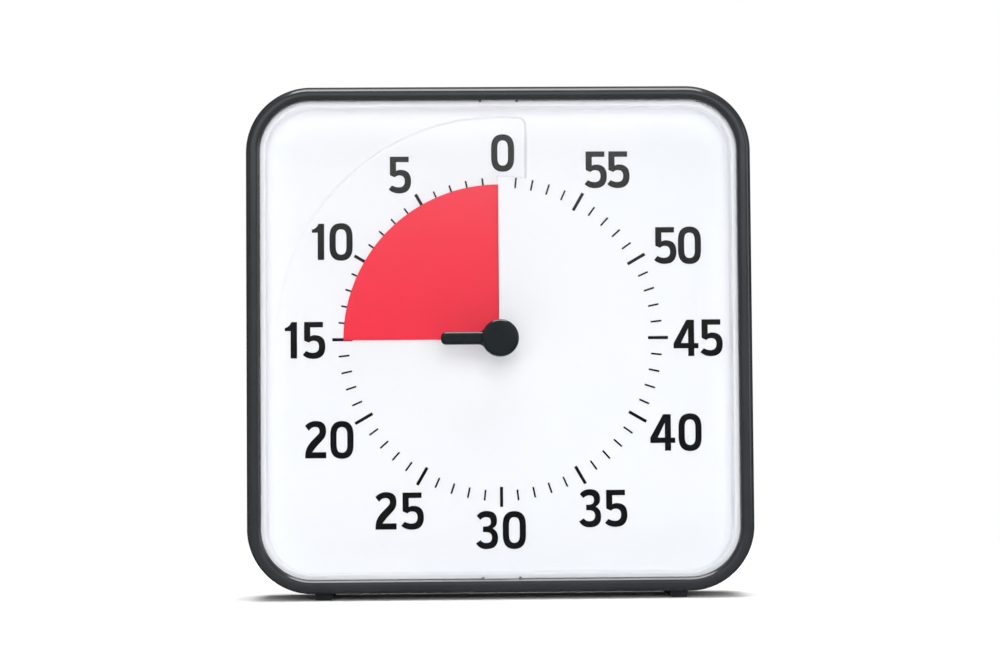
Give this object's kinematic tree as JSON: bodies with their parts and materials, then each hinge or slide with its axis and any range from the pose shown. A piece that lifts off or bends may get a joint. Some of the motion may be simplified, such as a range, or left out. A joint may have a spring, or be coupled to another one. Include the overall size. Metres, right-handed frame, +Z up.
{
  "type": "visual countdown timer",
  "caption": "Square desk timer with a black frame, a clear lens and a white dial, on which a red disc turned by a knob in the middle shows the minutes left.",
  "frame": {"origin": "middle of the case at the level of the feet's undersides, half-way between the knob's front and the back of the case", "axes": "+Z up, -Y out of the dial towards the viewer, +X to the viewer's right"},
  "size_m": [0.1906, 0.0444, 0.193],
  "materials": {
    "frame_plastic": "satin moulded black",
    "back_plastic": "fine-grained moulded black",
    "knob_plastic": "glossy moulded black",
    "clear_plastic": "clear glossy acrylic",
    "dial_plastic": "white satin",
    "print_ink": "matt black print",
    "disc_sheet": "red semi-gloss sheet",
    "white_plastic": "natural white moulded",
    "foot_rubber": "matt black",
    "plated_steel": "zinc plated",
    "brass": "bright",
    "copper": "enamelled winding wire",
    "magnet": "sintered magnet",
    "board": "green solder mask",
    "chip_plastic": "matt black",
    "cell_jacket": "plain steel cell",
    "gear_plastic": "natural acetal"
  },
  "bodies": {
    "case": {"front_bezel": "frame_plastic", "clear_lens": "clear_plastic", "dial_face": "dial_plastic", "minute_marks": "print_ink", "dial_numerals": "print_ink", "rear_cover": "back_plastic", "case_screws": "plated_steel", "rubber_feet": "foot_rubber", "battery_cell": "cell_jacket", "positive_contact": "plated_steel", "negative_contact": "plated_steel", "contact_spring": "plated_steel", "movement_front_case": "white_plastic", "movement_rear_case": "white_plastic", "movement_screws": "plated_steel", "spindle_bush": "brass", "circuit_board": "board", "timer_chip": "chip_plastic", "quartz_crystal": "plated_steel", "buzzer_disc": "brass", "buzzer_pins": "brass", "switch_body": "chip_plastic", "stator_plate": "plated_steel", "coil_bobbin": "white_plastic", "coil_winding": "copper"},
    "spindle": {"setting_knob": "knob_plastic", "spindle_shaft": "plated_steel", "centre_wheel": "brass", "clutch_spring": "brass", "retaining_ring": "plated_steel"},
    "disc": {"red_disc": "disc_sheet", "disc_hub": "white_plastic"},
    "second": {"second_wheel": "gear_plastic"},
    "first": {"first_wheel": "gear_plastic"},
    "rotor": {"rotor_magnet": "magnet", "rotor_pinion": "gear_plastic"},
    "alert_switch": {"switch_slider": "white_plastic"},
    "door": {"battery_door": "back_plastic"}
  },
  "joints": [
    {"name": "knob_turn", "type": "hinge", "parent": "case", "child": "spindle", "pos_m": [0, 0.004, 0.09775], "axis": [0, -1, 0], "range_deg": [-90, 270]},
    {"name": "disc_screw", "type": "slide", "parent": "spindle", "child": "disc", "axis": [0, -1, 0], "range_m": [-0.00176, 0.00526]},
    {"name": "second_wheel_turn", "type": "hinge", "parent": "case", "child": "second", "pos_m": [-0.0097, 0.011, 0.10335], "axis": [0, -1, 0], "continuous": true},
    {"name": "first_wheel_turn", "type": "hinge", "parent": "case", "child": "first", "pos_m": [-0.0055, 0.011, 0.11063], "axis": [0, -1, 0], "continuous": true},
    {"name": "rotor_turn", "type": "hinge", "parent": "case", "child": "rotor", "pos_m": [0.0005, 0.011, 0.11063], "axis": [0, -1, 0], "continuous": true},
    {"name": "alert_switch_slide", "type": "slide", "parent": "case", "child": "alert_switch", "axis": [1, 0, 0], "range_m": [0, 0.003]},
    {"name": "door_removal", "type": "slide", "parent": "case", "child": "door", "axis": [0, 1, 0], "range_m": [0, 0.03]}
  ],
  "couplings": [
    {"joint": "disc_screw", "follows": "knob_turn", "m_per_rad": 0.0011141},
    {"joint": "second_wheel_turn", "follows": "knob_turn", "ratio": -6},
    {"joint": "first_wheel_turn", "follows": "knob_turn", "ratio": 36},
    {"joint": "rotor_turn", "follows": "knob_turn", "ratio": -180}
  ]
}
